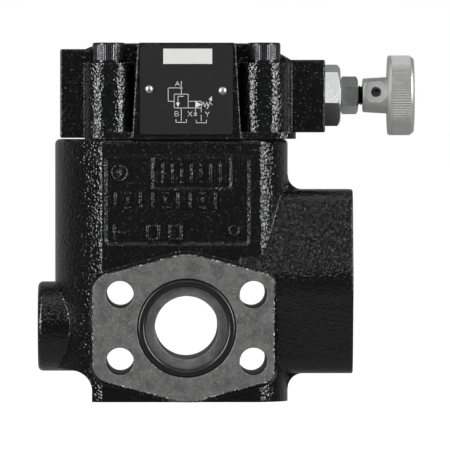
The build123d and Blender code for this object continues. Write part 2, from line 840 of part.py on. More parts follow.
# Moving spring seat with its seal
plunger_radius = plunger_stem / 2 - running_fit
plunger_groove_right = plunger_groove_left + plunger_groove_width
plunger_seat_right = plunger_left + plunger_collar_thickness
spring_plunger = turned_along_x(
    (
        (plunger_left - plunger_spigot_length, 0),
        (plunger_left - plunger_spigot_length, plunger_spigot / 2),
        (plunger_left, plunger_spigot / 2),
        (plunger_left, plunger_collar / 2),
        (plunger_seat_right, plunger_collar / 2),
        (plunger_seat_right, plunger_radius),
        (plunger_groove_left, plunger_radius),
        (plunger_groove_left, plunger_stem / 2 - groove_cut),
        (plunger_groove_right, plunger_stem / 2 - groove_cut),
        (plunger_groove_right, plunger_radius),
        (plunger_right, plunger_radius),
        (plunger_right, 0),
    )
)
spring_plunger.part.label = "spring_plunger"
export_step(spring_plunger.part, "parts/spring_plunger.step")
plunger_seal = ring_seal(
    plunger_stem / 2 - groove_cut / 2,
    gland,
    plunger_groove_width - 0.3,
    (plunger_groove_left + plunger_groove_width / 2, 0, pilot_height),
    (1, 0, 0),
)
plunger_seal.label = "plunger_seal"
export_step(plunger_seal, "parts/plunger_seal.step")


def hexagon(left, height, across_flats, turn, both_ends):
    """A hexagon nut blank on the spindle axis, with its right end or both ends bevelled."""
    corner = across_flats / 2 / cos(radians(30))
    land = across_flats / 2 * 0.96
    bevel = (corner - land) * tan(radians(30))
    outline = [(left, 0), (left, land if both_ends else corner + 1)]
    if both_ends:
        outline += [(left + bevel, corner)]
    outline += [(left + height - bevel, corner), (left + height, land), (left + height, 0)]
    with BuildPart() as blank:
        with BuildSketch(Plane(origin=(left, 0, pilot_height), x_dir=(0, 1, 0), z_dir=(1, 0, 0))):
            RegularPolygon(across_flats / 2, 6, major_radius=False, rotation=turn)
        extrude(amount=height)
        with BuildSketch(pilot_plane):
            with BuildLine():
                Polyline(*outline, close=True)
            make_face()
        revolve(axis=pilot_axis, mode=Mode.INTERSECT)
    return blank.part


# Bonnet, screwed into the head, and its seal
thread_bore = spindle_thread / 2 + seat_fit
bonnet_left = bonnet_shank_left
bonnet_right = bonnet_block_right + bonnet_height
with BuildPart() as bonnet:
    add(hexagon(bonnet_block_right, bonnet_height, bonnet_hexagon, bonnet_turn, False))
    with BuildSketch(pilot_plane):
        with BuildLine():
            Polyline(
                (bonnet_left, 0),
                (bonnet_left, bonnet_thread / 2 - seat_fit - 0.8),
                (bonnet_left + 0.8, bonnet_thread / 2 - seat_fit),
                (bonnet_block_right, bonnet_thread / 2 - seat_fit),
                (bonnet_block_right, 0),
                close=True,
            )
        make_face()
    revolve(axis=pilot_axis)
    with BuildSketch(pilot_plane):
        with BuildLine():
            Polyline(
                (bonnet_left, 0),
                (bonnet_left, plunger_stem / 2),
                (plunger_bore_end, plunger_stem / 2),
                (plunger_bore_end, thread_bore),
                (bonnet_right, thread_bore),
                (bonnet_right, 0),
                close=True,
            )
        make_face()
    revolve(axis=pilot_axis, mode=Mode.SUBTRACT)
bonnet.part.label = "bonnet"
export_step(bonnet.part, "parts/bonnet.step")
bonnet_seal = ring_seal(
    (bonnet_seal_outside + bonnet_thread) / 4,
    (bonnet_seal_outside - bonnet_thread) / 2 - 2 * seat_fit,
    bonnet_seal_depth - 2 * seat_fit,
    (bonnet_block_right - bonnet_seal_depth / 2, 0, pilot_height),
    (1, 0, 0),
)
bonnet_seal.label = "bonnet_seal"
export_step(bonnet_seal, "parts/bonnet_seal.step")

# Lock nut
with BuildPart() as lock_nut:
    add(hexagon(nut_left, nut_height, nut_hexagon, nut_turn, True))
    with Locations(Plane(origin=(nut_left, 0, pilot_height), z_dir=(1, 0, 0))):
        Cylinder(
            thread_bore,
            nut_height,
            align=(Align.CENTER, Align.CENTER, Align.MIN),
            mode=Mode.SUBTRACT,
        )
lock_nut.part.label = "lock_nut"
export_step(lock_nut.part, "parts/lock_nut.step")

# Adjusting spindle: the thread, and a thinner end with a flat for the set screw
hub_screw_way = Vector(0, -cos(radians(hub_screw_turn)), sin(radians(hub_screw_turn)))
spindle_left = plunger_right + seat_fit
spindle_shoulder = hub_left - seat_fit
with BuildPart() as adjusting_spindle:
    with BuildSketch(pilot_plane):
        with BuildLine():
            Polyline(
                (spindle_left, 0),
                (spindle_left, spindle_thread / 2 - 1),
                (spindle_left + 1, spindle_thread / 2),
                (spindle_shoulder, spindle_thread / 2),
                (spindle_shoulder, spindle_tip / 2),
                (spindle_right, spindle_tip / 2),
                (spindle_right, 0),
                close=True,
            )
        make_face()
    revolve(axis=pilot_axis)
    with BuildSketch(
        Plane(
            origin=Vector(hub_screw_x, 0, pilot_height) + hub_screw_way * spindle_flat,
            x_dir=(1, 0, 0),
            z_dir=hub_screw_way,
        )
    ):
        Rectangle(hub_screw_thread + 2, spindle_tip)
    extrude(amount=spindle_tip, mode=Mode.SUBTRACT)
adjusting_spindle.part.label = "adjusting_spindle"
export_step(adjusting_spindle.part, "parts/adjusting_spindle.step")

# Knurled knob with its hub
knob_radius = knob_diameter / 2
spot_depth = hub_large / 2 - sqrt((hub_large**2 - hub_spot**2) / 4)
spot_level = hub_large / 2 - spot_depth
with BuildPart() as knob:
    with BuildSketch(Plane(origin=(knob_left + knob_rim, 0, pilot_height), x_dir=(0, 1, 0), z_dir=(1, 0, 0))):
        with BuildLine():
            crest_and_root = [
                (
                    (knob_radius - knurl_depth * (step % 2)) * cos(pi * step / knurl_count),
                    (knob_radius - knurl_depth * (step % 2)) * sin(pi * step / knurl_count),
                )
                for step in range(2 * knurl_count)
            ]
            Polyline(*crest_and_root, close=True)
        make_face()
    extrude(amount=knob_right - knob_left - knob_rim)
    with BuildSketch(pilot_plane):
        with BuildLine():
            Polyline(
                (knob_left, 0),
                (knob_left, knob_radius + 1),
                (knob_right - knob_chamfer, knob_radius + 1),
                (knob_right - knob_chamfer, knob_radius - knurl_depth),
                (knob_right - knob_chamfer / 2, knob_radius - knurl_depth - knob_chamfer / 6),
                (knob_right, knob_radius - knurl_depth - knob_chamfer * 0.7),
                (knob_right, 0),
                close=True,
            )
        make_face()
    revolve(axis=pilot_axis, mode=Mode.INTERSECT)
    with BuildSketch(pilot_plane):
        with BuildLine():
            Polyline(
                (hub_left, 0),
                (hub_left, hub_small / 2 - 0.4),
                (hub_left + 0.4, hub_small / 2),
                (knob_left, hub_large / 2),
                (knob_left, knob_radius - 0.5),
                (knob_left + 0.5, knob_radius),
                (knob_left + knob_rim, knob_radius),
                (knob_left + knob_rim, 0),
                close=True,
            )
        make_face()
    revolve(axis=pilot_axis)
    with Locations(Plane(origin=(hub_left, 0, pilot_height), z_dir=(-1, 0, 0))):
        Hole(spindle_tip / 2 + seat_fit, depth=spindle_right - hub_left + seat_fit)
    with Locations(
        Plane(
            origin=Vector(hub_screw_x, 0, pilot_height) + hub_screw_way * hub_large / 2,
            x_dir=(1, 0, 0),
            z_dir=hub_screw_way,
        )
    ):
        CounterBoreHole(
            hub_screw_thread / 2 + seat_fit, hub_spot / 2, spot_depth, depth=hub_large / 2
        )
knob.part.label = "knob"
export_step(knob.part, "parts/knob.step")

# Set screw of the knob
hub_screw_low = spindle_flat + seat_fit
with BuildPart() as knob_set_screw:
    with Locations(
        Plane(
            origin=Vector(hub_screw_x, 0, pilot_height) + hub_screw_way * hub_screw_low,
            x_dir=(1, 0, 0),
            z_dir=hub_screw_way,
        )
    ):
        Cylinder(
            hub_screw_thread / 2,
            spot_level - hub_screw_low - 0.3,
            align=(Align.CENTER, Align.CENTER, Align.MIN),
        )
    with BuildSketch(
        Plane(
            origin=Vector(hub_screw_x, 0, pilot_height) + hub_screw_way * (spot_level - 0.3),
            x_dir=(1, 0, 0),
            z_dir=hub_screw_way,
        )
    ):
        RegularPolygon(hub_screw_thread / 4, 6, major_radius=False)
    extrude(amount=-1.5, mode=Mode.SUBTRACT)
knob_set_screw.part.label = "knob_set_screw"
export_step(knob_set_screw.part, "parts/knob_set_screw.step")


def socket_plug(outside, left, length, collar, collar_thickness, socket, socket_depth, height):
    """A screw plug with a hexagon socket in its left end, and a collar where one is given."""
    with BuildPart() as plug:
        with Locations(Plane(origin=(left, 0, height), x_dir=(0, 1, 0), z_dir=(1, 0, 0))):
            Cylinder(outside / 2, length, align=(Align.CENTER, Align.CENTER, Align.MIN))
            Cylinder(collar / 2, collar_thickness, align=(Align.CENTER, Align.CENTER, Align.MIN))
        with BuildSketch(Plane(origin=(left, 0, height), x_dir=(0, 1, 0), z_dir=(1, 0, 0))):
            RegularPolygon(socket / 2, 6, major_radius=False)
        extrude(amount=socket_depth, mode=Mode.SUBTRACT)
    return plug.part


gauge_port_plug = socket_plug(
    gauge_thread,
    -boss_face + 0.2,
    gauge_collar_depth + gauge_plug_length - 0.6,
    gauge_collar,
    gauge_collar_thickness,
    gauge_socket,
    gauge_socket_depth,
    port_a_height,
)
gauge_port_plug.label = "gauge_port_plug"
export_step(gauge_port_plug, "parts/gauge_port_plug.step")

gauge_seal_thickness = gauge_collar_depth - 0.2 - gauge_collar_thickness - 2 * seat_fit
with BuildPart() as gauge_plug_seal:
    with BuildSketch(
        Plane(origin=(-boss_face + gauge_collar_depth - seat_fit, 0, port_a_height), z_dir=(-1, 0, 0))
    ):
        Circle(gauge_collar / 2 - 0.2)
        Circle(gauge_thread / 2 + seat_fit, mode=Mode.SUBTRACT)
    extrude(amount=gauge_seal_thickness)
gauge_plug_seal.part.label = "gauge_plug_seal"
export_step(gauge_plug_seal.part, "parts/gauge_plug_seal.step")

gallery_plug = socket_plug(
    gallery_plug_thread,
    -end_block_left + 0.2,
    gallery_plug_length - 0.4,
    gallery_plug_thread,
    1.0,
    gallery_plug_socket,
    gallery_plug_socket_depth,
    pilot_height,
)
gallery_plug.label = "gallery_plug"
export_step(gallery_plug, "parts/gallery_plug.step")
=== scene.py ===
"""Looks of a pilot-operated relief valve: enamelled castings, plated adjuster, hand knob and nameplate."""
import math

import bmesh
import bpy
from mathutils import Matrix, Vector


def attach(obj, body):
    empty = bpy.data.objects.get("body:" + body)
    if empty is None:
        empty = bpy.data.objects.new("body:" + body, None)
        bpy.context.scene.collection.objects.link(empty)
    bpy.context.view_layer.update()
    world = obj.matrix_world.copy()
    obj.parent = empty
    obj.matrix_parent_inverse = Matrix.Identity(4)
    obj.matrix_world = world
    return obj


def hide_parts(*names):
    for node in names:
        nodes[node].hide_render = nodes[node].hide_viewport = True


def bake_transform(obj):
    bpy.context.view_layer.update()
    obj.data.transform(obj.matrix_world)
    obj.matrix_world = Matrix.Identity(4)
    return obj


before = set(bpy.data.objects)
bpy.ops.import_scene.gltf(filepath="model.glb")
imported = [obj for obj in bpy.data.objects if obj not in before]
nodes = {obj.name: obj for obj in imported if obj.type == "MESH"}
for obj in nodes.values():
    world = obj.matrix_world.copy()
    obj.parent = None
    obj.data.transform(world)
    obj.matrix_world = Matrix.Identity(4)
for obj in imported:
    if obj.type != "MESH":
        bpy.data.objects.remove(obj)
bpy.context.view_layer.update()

MM = 0.001

# Places of the castings, in millimetres
PORT_A_Z = 29.2
PORT_B_Z = 47.2
FLANGE_Y = 30.0
PORT_B_X = 65.5
JOINT_Z = 103.4
PORT_RADIUS = 12.5
PORT_B_BORE_LEFT = 33.0
CHAMBER_RADIUS = 22.05
CHAMBER_FLOOR = 44.0
SEAL_RADIUS = 19.5
SEAL_DEPTH = 2.8
SCREW_HOLE_RADIUS = 5.4
SCREW_LONG = 52.4
SCREW_SHORT = 26.2
PAD_PEAK = 29.6
PAD_SLOPE = math.radians(14.8)
PAD_LEFT = 37.0
PAD_RIGHT = 34.4
PAD_ROOT_Y = 27.05
LEFT_SEAM_X = -33.6
LEFT_END_X = -50.0
LEFT_LEAN = 0.36
SPINDLE_Z = 120.7
HEAD_BORE_RADIUS = 10.45

# Cap screws: their places, and the knurled side of their heads
SCREW_X = 30.5
SCREW_Y = 17.0
KNURL_RADIUS = 6.15
KNURL_LOW = 134.2
KNURL_HIGH = 140.3
KNURL_RIBS = 56.0

# A mask of a machined face or bore reaches this far past it
SKIN = 0.02

# The photograph's camera: level with the head, far away, with a long lens
CAMERA_PLACE = Vector((-14.8, -2530.0, 102.2)) * MM
CAMERA_TARGET = Vector((15.0, -30.0, 69.65)) * MM
FRAME_WIDTH = 176.4 * MM
SENSOR = 36.0


def linear(colour):
    """Linear colour of an sRGB hex value such as "#0a0a0b"."""
    parts = [int(colour[i : i + 2], 16) / 255 for i in (1, 3, 5)]
    return tuple(p / 12.92 if p <= 0.04045 else ((p + 0.055) / 1.055) ** 2.4 for p in parts) + (1.0,)


def add_node(tree, kind, inputs=None, **settings):
    """Adds a node, with its settings, and its inputs either linked to a socket or set to a value."""
    made = tree.nodes.new(kind)
    for name, value in settings.items():
        setattr(made, name, value)
    for socket, value in (inputs or {}).items():
        if isinstance(value, bpy.types.NodeSocket):
            tree.links.new(value, made.inputs[socket])
        else:
            made.inputs[socket].default_value = value
    return made


def calc(tree, operation, *values):
    """One Math node on sockets or numbers."""
    return add_node(tree, "ShaderNodeMath", dict(enumerate(values)), operation=operation).outputs[0]


def new_material(name):
    """A new node material, its empty tree, and its Object coordinates in millimetres."""
    material = bpy.data.materials.new(name)
    material.use_nodes = True
    tree = material.node_tree
    tree.nodes.clear()
    coordinates = add_node(tree, "ShaderNodeTexCoord")
    to_millimetres = {0: coordinates.outputs["Object"], 1: (1000, 1000, 1000)}
    scaled = add_node(tree, "ShaderNodeVectorMath", to_millimetres, operation="MULTIPLY")
    return material, tree, scaled.outputs[0]


def split(tree, place):
    """The x, y and z of a place, as three sockets."""
    return add_node(tree, "ShaderNodeSeparateXYZ", {0: place}).outputs


def finish_material(tree, shader):
    add_node(tree, "ShaderNodeOutputMaterial", {"Surface": shader.outputs[0]})


def grain(tree, place, size, detail=2.0, roughness=0.5, stretch=(1, 1, 1)):
    """Noise whose grains are about size millimetres across."""
    mapped = add_node(tree, "ShaderNodeMapping", {"Vector": place, "Scale": stretch})
    texture = add_node(
        tree,
        "ShaderNodeTexNoise",
        {"Vector": mapped.outputs[0], "Scale": 1.0 / size, "Detail": detail, "Roughness": roughness},
    )
    return texture.outputs["Fac"]


def step_up(tree, value, low, high):
    """0 below low, 1 above high, smooth between."""
    ramp = add_node(
        tree,
        "ShaderNodeMapRange",
        {"Value": value, "From Min": low, "From Max": high, "To Min": 0.0, "To Max": 1.0},
        interpolation_type="SMOOTHSTEP",
        clamp=True,
    )
    return ramp.outputs[0]


def flip(tree, mask):
    """1 where the mask is 0, and 0 where it is 1."""
    return calc(tree, "SUBTRACT", 1.0, mask)


def blend_value(tree, mask, without, within):
    inputs = {"Factor": mask, "A": without, "B": within}
    return add_node(tree, "ShaderNodeMix", inputs, data_type="FLOAT").outputs["Result"]


def blend_colour(tree, mask, without, within):
    mix = add_node(tree, "ShaderNodeMix", data_type="RGBA")
    for socket, value in ((0, mask), (6, without), (7, within)):
        if isinstance(value, bpy.types.NodeSocket):
            tree.links.new(value, mix.inputs[socket])
        else:
            mix.inputs[socket].default_value = value
    return mix.outputs[2]


def bump(tree, height, distance, strength=1.0, under=None):
    """Bump of a 0 to 1 height, whose full rise is distance millimetres."""
    inputs = {"Height": height, "Distance": distance * MM, "Strength": strength}
    if under is not None:
        inputs["Normal"] = under
    return add_node(tree, "ShaderNodeBump", inputs).outputs[0]


def worn_edges(tree, radius):
    """Normals that are rounded over the edges, and a mask that is 1 on those edges."""
    rounded = add_node(tree, "ShaderNodeBevel", {"Radius": radius * MM}, samples=6).outputs[0]
    flat = add_node(tree, "ShaderNodeNewGeometry").outputs["Normal"]
    agree = add_node(tree, "ShaderNodeVectorMath", {0: rounded, 1: flat}, operation="DOT_PRODUCT")
    return rounded, flip(tree, step_up(tree, agree.outputs["Value"], 0.9, 0.985))


def tight_left_end(tree, place, normal):
    """Turns the normals of the body's left end further round, as its corner is tighter than one arc."""
    x, y, _ = split(tree, place)
    near_seam = add_node(
        tree,
        "ShaderNodeMapRange",
        {"Value": x, "From Min": LEFT_END_X, "From Max": LEFT_SEAM_X, "To Min": 0.0, "To Max": LEFT_LEAN},
        clamp=True,
    ).outputs[0]
    beside_panel = calc(tree, "LESS_THAN", x, LEFT_SEAM_X + 0.4)
    behind_pads = calc(tree, "LESS_THAN", calc(tree, "ABSOLUTE", y), PAD_ROOT_Y)
    swing = calc(tree, "MULTIPLY", calc(tree, "MULTIPLY", near_seam, beside_panel), behind_pads)
    shift = add_node(tree, "ShaderNodeCombineXYZ", {0: calc(tree, "MULTIPLY", swing, -1.0)}).outputs[0]
    leaning = add_node(tree, "ShaderNodeVectorMath", {0: normal, 1: shift}, operation="ADD").outputs[0]
    return add_node(tree, "ShaderNodeVectorMath", {0: leaning}, operation="NORMALIZE").outputs[0]


def reach_from_axis(tree, across, along):
    """Distance from an axis, from the two coordinates across it."""
    squares = calc(tree, "ADD", calc(tree, "POWER", across, 2.0), calc(tree, "POWER", along, 2.0))
    return calc(tree, "SQRT", squares)


def tube_mask(tree, across, along, radius):
    """1 inside a round bore, from the two coordinates across it."""
    return flip(tree, step_up(tree, reach_from_axis(tree, across, along), radius, radius + 0.05))


def beyond_face(tree, value, face):
    """1 from a machined face outwards."""
    return step_up(tree, value, face - 0.06, face - 0.03)


def any_of(tree, *masks):
    total = masks[0]
    for mask in masks[1:]:
        total = calc(tree, "MAXIMUM", total, mask)
    return total


def bare_body(tree, place):
    """Where the main body is machined: faces, base and bores. Also the nicks in the pads' edges."""
    x, y, z = split(tree, place)
    depth = calc(tree, "ABSOLUTE", y)
    a_height = calc(tree, "SUBTRACT", z, PORT_A_Z)
    width = calc(tree, "ABSOLUTE", x)
    # Distance inside the pad's sloped sides and its two ends
    fall = calc(tree, "MULTIPLY", width, math.tan(PAD_SLOPE))
    slope_gap = calc(tree, "SUBTRACT", PAD_PEAK, fall)
    slope_gap = calc(tree, "SUBTRACT", slope_gap, calc(tree, "ABSOLUTE", a_height))
    slope_gap = calc(tree, "MULTIPLY", slope_gap, math.cos(PAD_SLOPE))
    left_gap = calc(tree, "ADD", x, PAD_LEFT)
    right_gap = calc(tree, "SUBTRACT", PAD_RIGHT, x)
    inset = calc(tree, "MINIMUM", slope_gap, calc(tree, "MINIMUM", left_gap, right_gap))
    # Paint runs a little over the edge of the ground face, more in some places than in others
    wander = calc(tree, "MULTIPLY", grain(tree, place, 2.2, 3.0, 0.6), 0.9)
    paint_edge = step_up(tree, calc(tree, "SUBTRACT", inset, wander), -0.25, -0.1)
    face_a = calc(tree, "MULTIPLY", beyond_face(tree, depth, FLANGE_Y), paint_edge)
    face_b = beyond_face(tree, x, PORT_B_X)
    joint = beyond_face(tree, z, JOINT_Z)
    base = flip(tree, step_up(tree, z, SKIN, SKIN + 0.03))
    bore_a = tube_mask(tree, x, a_height, PORT_RADIUS + SKIN)
    hole_x = calc(tree, "SUBTRACT", width, SCREW_LONG / 2)
    hole_z = calc(tree, "SUBTRACT", calc(tree, "ABSOLUTE", a_height), SCREW_SHORT / 2)
    holes = tube_mask(tree, hole_x, hole_z, SCREW_HOLE_RADIUS + SKIN)
    b_height = calc(tree, "SUBTRACT", z, PORT_B_Z)
    beside_chamber = step_up(tree, x, PORT_B_BORE_LEFT, PORT_B_BORE_LEFT + 1.0)
    bore_b = calc(tree, "MULTIPLY", tube_mask(tree, y, b_height, PORT_RADIUS + SKIN), beside_chamber)
    above_floor = step_up(tree, z, CHAMBER_FLOOR, CHAMBER_FLOOR + 1.0)
    cavity = calc(tree, "MULTIPLY", tube_mask(tree, x, y, CHAMBER_RADIUS), above_floor)
    recess_floor = FLANGE_Y - SEAL_DEPTH - SKIN
    front_only = step_up(tree, calc(tree, "MULTIPLY", y, -1.0), recess_floor - 0.02, recess_floor)
    recess = calc(tree, "MULTIPLY", tube_mask(tree, x, a_height, SEAL_RADIUS + SKIN), front_only)
    bare = any_of(tree, face_a, face_b, joint, base, bore_a, holes, bore_b, cavity, recess)
    # Bright nicks where the edge of the pad has been knocked
    near_face = step_up(tree, depth, FLANGE_Y - 0.7, FLANGE_Y - 0.25)
    near_edge = flip(tree, step_up(tree, calc(tree, "ABSOLUTE", inset), 0.35, 0.6))
    knocks = step_up(tree, grain(tree, place, 0.9, 4.0, 0.7), 0.56, 0.6)
    nicks = calc(tree, "MULTIPLY", calc(tree, "MULTIPLY", near_face, near_edge), knocks)
    return bare, nicks


def bare_head(tree, place):
    """Where the pilot head is machined: joint face, and seats of bonnet and plug. It has no nicks."""
    _, y, z = split(tree, place)
    joint = flip(tree, step_up(tree, z, JOINT_Z + 0.03, JOINT_Z + 0.06))
    height = calc(tree, "SUBTRACT", z, SPINDLE_Z)
    return any_of(tree, joint, tube_mask(tree, y, height, HEAD_BORE_RADIUS)), 0.0


def black_enamel(name, bare_places):
    """Glossy black alkyd enamel sprayed over a sand casting. The sand grain shows through the film as
    orange peel and breaks the reflections up into sparks. Machined faces are grey phosphated iron."""
    material, tree, place = new_material(name)
    bare, nicks = bare_places(tree, place)
    rounded, edges = worn_edges(tree, 0.8)
    if bare_places is bare_body:
        rounded = tight_left_end(tree, place, rounded)
    chips = step_up(tree, grain(tree, place, 1.3, 4.0, 0.75), 0.6, 0.64)
    nicks = any_of(tree, nicks, calc(tree, "MULTIPLY", edges, chips))
    peel = grain(tree, place, 1.0, 1.5, 0.45)
    lumps = grain(tree, place, 4.5, 1.0, 0.5)
    coated = flip(tree, bare)
    surface = bump(tree, calc(tree, "MULTIPLY", lumps, coated), 0.3, 0.5, rounded)
    surface = bump(tree, calc(tree, "MULTIPLY", peel, coated), 0.38, 1.0, surface)
    mottle = grain(tree, place, 5.0, 4.0, 0.65)
    specks = grain(tree, place, 0.8, 3.0, 0.6)
    phosphate = blend_colour(tree, step_up(tree, mottle, 0.3, 0.7), linear("#505050"), linear("#6c6c6b"))
    phosphate = blend_colour(tree, step_up(tree, specks, 0.5, 0.8), phosphate, linear("#878786"))
    colour = blend_colour(tree, bare, linear("#0a0a0b"), phosphate)
    colour = blend_colour(tree, nicks, colour, linear("#c9c9c6"))
    metal = any_of(tree, bare, nicks)
    shader = add_node(
        tree,
        "ShaderNodeBsdfPrincipled",
        {
            "Base Color": colour,
            "Metallic": calc(tree, "MULTIPLY", metal, 0.55),
            "Roughness": blend_value(tree, metal, 0.08, 0.5),
            "IOR": 1.52,
            "Normal": surface,
        },
    )
    finish_material(tree, shader)
    return material


def plain_metal(name, colour, worn, roughness, metallic=1.0, size=0.3, stretch=(1, 1, 1), depth=0.004):
    """A machined or plated metal: two tones of colour, with a fine tool grain in gloss and height."""
    material, tree, place = new_material(name)
    texture = grain(tree, place, size, 3.0, 0.6, stretch)
    tint = blend_colour(tree, step_up(tree, texture, 0.35, 0.75), linear(colour), linear(worn))
    smoothest = roughness * 0.8
    roughest = roughness * 1.25
    gloss = add_node(
        tree,
        "ShaderNodeMapRange",
        {"Value": texture, "From Min": 0.3, "From Max": 0.7, "To Min": smoothest, "To Max": roughest},
    ).outputs[0]
    shader = add_node(
        tree,
        "ShaderNodeBsdfPrincipled",
        {
            "Base Color": tint,
            "Metallic": metallic,
            "Roughness": gloss,
            "Normal": bump(tree, texture, depth, 0.6),
        },
    )
    finish_material(tree, shader)
    return material


def knurled_oxide():
    """Oiled black oxide of the cap screws, whose heads carry a fine straight knurl round their sides."""
    material, tree, place = new_material("knurled_oxide")
    x, y, z = split(tree, place)
    across = calc(tree, "SUBTRACT", calc(tree, "ABSOLUTE", x), SCREW_X)
    along = calc(tree, "SUBTRACT", calc(tree, "ABSOLUTE", y), SCREW_Y)
    reach = reach_from_axis(tree, across, along)
    turn = calc(tree, "ARCTAN2", along, across)
    wave = calc(tree, "SINE", calc(tree, "MULTIPLY", turn, KNURL_RIBS))
    ribs = calc(tree, "MULTIPLY_ADD", wave, 0.5, 0.5)
    outside = step_up(tree, reach, KNURL_RADIUS, KNURL_RADIUS + 0.15)
    side = calc(tree, "MULTIPLY", outside, step_up(tree, z, KNURL_LOW, KNURL_LOW + 0.3))
    side = calc(tree, "MULTIPLY", side, flip(tree, step_up(tree, z, KNURL_HIGH, KNURL_HIGH + 0.3)))
    wear = grain(tree, place, 0.7, 3.0, 0.6, (1, 1, 0.3))
    ribs = calc(tree, "MULTIPLY", ribs, side)
    colour = blend_colour(tree, step_up(tree, wear, 0.4, 0.8), linear("#2c2c2e"), linear("#4a4a4c"))
    colour = blend_colour(tree, calc(tree, "MULTIPLY", ribs, 0.5), colour, linear("#707072"))
    shader = add_node(
        tree,
        "ShaderNodeBsdfPrincipled",
        {
            "Base Color": colour,
            "Metallic": 0.85,
            "Roughness": 0.22,
            "Normal": bump(tree, ribs, 0.06, 1.0, bump(tree, wear, 0.03, 0.6)),
        },
    )
    finish_material(tree, shader)
    return material


def nitrile():
    """Black nitrile rubber with a film of oil: dark, with a soft highlight."""
    material, tree, place = new_material("nitrile")
    texture = grain(tree, place, 0.8, 2.0, 0.5)
    shader = add_node(
        tree,
        "ShaderNodeBsdfPrincipled",
        {
            "Base Color": blend_colour(tree, texture, linear("#0c0c0d"), linear("#161617")),
            "Roughness": 0.3,
            "IOR": 1.52,
            "Normal": bump(tree, texture, 0.02, 0.4),
        },
    )
    finish_material(tree, shader)
    return material


def anodised_plate():
    """Dark anodised aluminium sheet: matte charcoal with a very fine etched grain."""
    material, tree, place = new_material("anodised_plate")
    texture = grain(tree, place, 0.7, 2.0, 0.6)
    patches = grain(tree, place, 6.0, 3.0, 0.6)
    base = blend_colour(tree, patches, linear("#0a0a0b"), linear("#0e0e0f"))
    shader = add_node(
        tree,
        "ShaderNodeBsdfPrincipled",
        {
            "Base Color": blend_colour(tree, step_up(tree, texture, 0.5, 0.8), base, linear("#151516")),
            "Metallic": 0.2,
            "Roughness": 0.55,
            "Normal": bump(tree, texture, 0.012, 0.5),
        },
    )
    finish_material(tree, shader)
    return material


def dress(obj, material):
    """Every slot of a piece gets the one material."""
    if not obj.data.materials:
        obj.data.materials.append(material)
    for index in range(len(obj.data.materials)):
        obj.data.materials[index] = material


def smooth(obj, angle):
    """Smooth shading with the sharp edges kept."""
    bm = bmesh.new()
    bm.from_mesh(obj.data)
    for face in bm.faces:
        face.smooth = True
    for edge in bm.edges:
        sharp = len(edge.link_faces) == 2 and edge.calc_face_angle(0.0) > math.radians(angle)
        edge.smooth = not sharp
    bm.to_mesh(obj.data)
    bm.free()


def object_from(bm, name, material, shade):
    """An object in place from its mesh, with outward normals, its material and its shading."""
    mesh = bpy.data.meshes.new(name)
    bmesh.ops.recalc_face_normals(bm, faces=bm.faces)
    bm.to_mesh(mesh)
    bm.free()
    obj = bpy.data.objects.new(name, mesh)
    bpy.context.scene.collection.objects.link(obj)
    dress(obj, material)
    smooth(obj, shade)
    return obj


def piece_from(bm, name, material, body="valve", shade=35.0):
    """A finished piece that rides on a body."""
    bmesh.ops.remove_doubles(bm, verts=bm.verts, dist=1e-7)
    obj = object_from(bm, name, material, shade)
    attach(obj, body)
    return obj


def add_box(bm, centre, size, turn=None, bevel=0.0):
    """A box in millimetres, turned and with its edges rounded if asked."""
    made = bmesh.ops.create_cube(bm, size=1.0)["verts"]
    bmesh.ops.scale(bm, vec=Vector(size) * MM, verts=made)
    if bevel:
        edges = list({edge for vert in made for edge in vert.link_edges})
        made = bmesh.ops.bevel(
            bm, geom=edges, offset=bevel * MM, segments=3, profile=0.5, affect="EDGES", material=-1
        )["verts"]
        made = list({v for face in {f for v in made for f in v.link_faces} for v in face.verts})
    if turn is not None:
        bmesh.ops.rotate(bm, cent=(0, 0, 0), matrix=turn, verts=made)
    bmesh.ops.translate(bm, vec=Vector(centre) * MM, verts=made)
    return made


def add_rings(bm, rings):
    """A skin over rings of points in millimetres, each with as many points, capped at both ends."""
    rows = [[bm.verts.new(Vector(point) * MM) for point in ring] for ring in rings]
    for row, following in zip(rows, rows[1:]):
        for index in range(len(row)):
            onward = (index + 1) % len(row)
            bm.faces.new((row[index], row[onward], following[onward], following[index]))
    bm.faces.new(reversed(rows[0]))
    bm.faces.new(rows[-1])


def coil(name, axis, foot, length, wire, outside, turns, first=0.0, last=1.0):
    """A compression spring with closed ends, or the stretch of one from first to last of its length."""
    bm = bmesh.new()
    reach = (outside - wire) / 2
    steps = int(turns * COIL_STEPS)
    # The end turns lie close together, as in a ground spring
    closed = 1.1 / turns
    rings = []
    along = Vector(axis)
    side = along.orthogonal().normalized()
    other = along.cross(side)
    for step in range(steps + 1):
        share = step / steps
        if not first <= share <= last:
            continue
        turn = 2 * math.pi * turns * share
        loose = min(max((share - closed) / (1 - 2 * closed), 0.0), 1.0)
        ends = (min(share, closed) + max(share - 1 + closed, 0.0)) * turns * wire
        height = wire / 2 + ends + loose * (length - wire - 2 * closed * turns * wire)
        out = side * math.cos(turn) + other * math.sin(turn)
        centre = Vector(foot) + along * height + out * reach
        ring = []
        for index in range(WIRE_SIDES):
            bend = 2 * math.pi * index / WIRE_SIDES
            ring.append(centre + (out * math.cos(bend) + along * math.sin(bend)) * wire / 2)
        rings.append(ring)
    add_rings(bm, rings)
    return object_from(bm, name, spring_wire, 60.0)


# Materials, of the CAD nodes first
body_enamel = black_enamel("body_enamel", bare_body)
head_enamel = black_enamel("head_enamel", bare_head)
# Bright zinc plate on turned and milled steel: fairly glossy, cold grey, with faint tool marks
zinc = plain_metal("zinc_plate", "#d0d2d1", "#e2e4e3", 0.3, size=0.5, stretch=(3, 1, 1), depth=0.008)
# Pressure die-cast zinc alloy, tumbled: matte light grey with a fine satin skin
casting = plain_metal("knob_casting", "#b4b5b3", "#c6c7c5", 0.42, metallic=0.8, size=0.35, depth=0.012)
